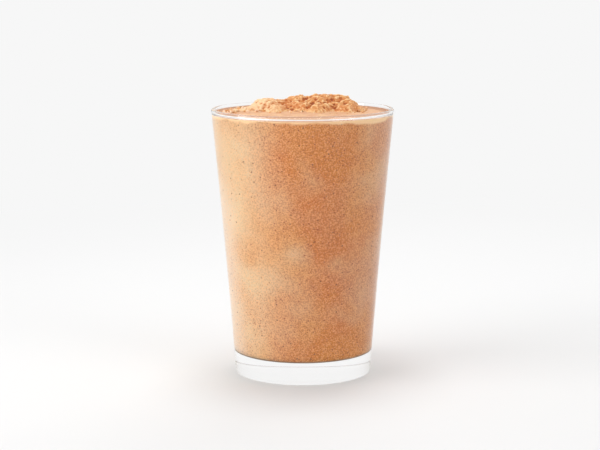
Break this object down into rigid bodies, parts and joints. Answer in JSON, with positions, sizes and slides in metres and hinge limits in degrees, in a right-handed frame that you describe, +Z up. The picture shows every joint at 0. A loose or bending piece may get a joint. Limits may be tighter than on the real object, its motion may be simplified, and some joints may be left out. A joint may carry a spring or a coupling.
{
  "type": "frozen coffee drink",
  "caption": "Frozen blended coffee drink with a coarse slush heap on top, in a clear flared glass tumbler with a thick base.",
  "frame": {"origin": "centre of the ring that the glass stands on", "axes": "+Z up along the glass's axis, +X to the right and -Y towards the viewer of the pictured side"},
  "size_m": [0.0858, 0.0858, 0.1315],
  "materials": {
    "clear_glass": "polished",
    "blended_drink": "smooth, full of fine bubbles, seen through glass",
    "coarse_slush": "coarse and damp"
  },
  "bodies": {
    "root": {"glass": "clear_glass", "drink": "blended_drink", "slush_crown": "coarse_slush"}
  },
  "joints": []
}
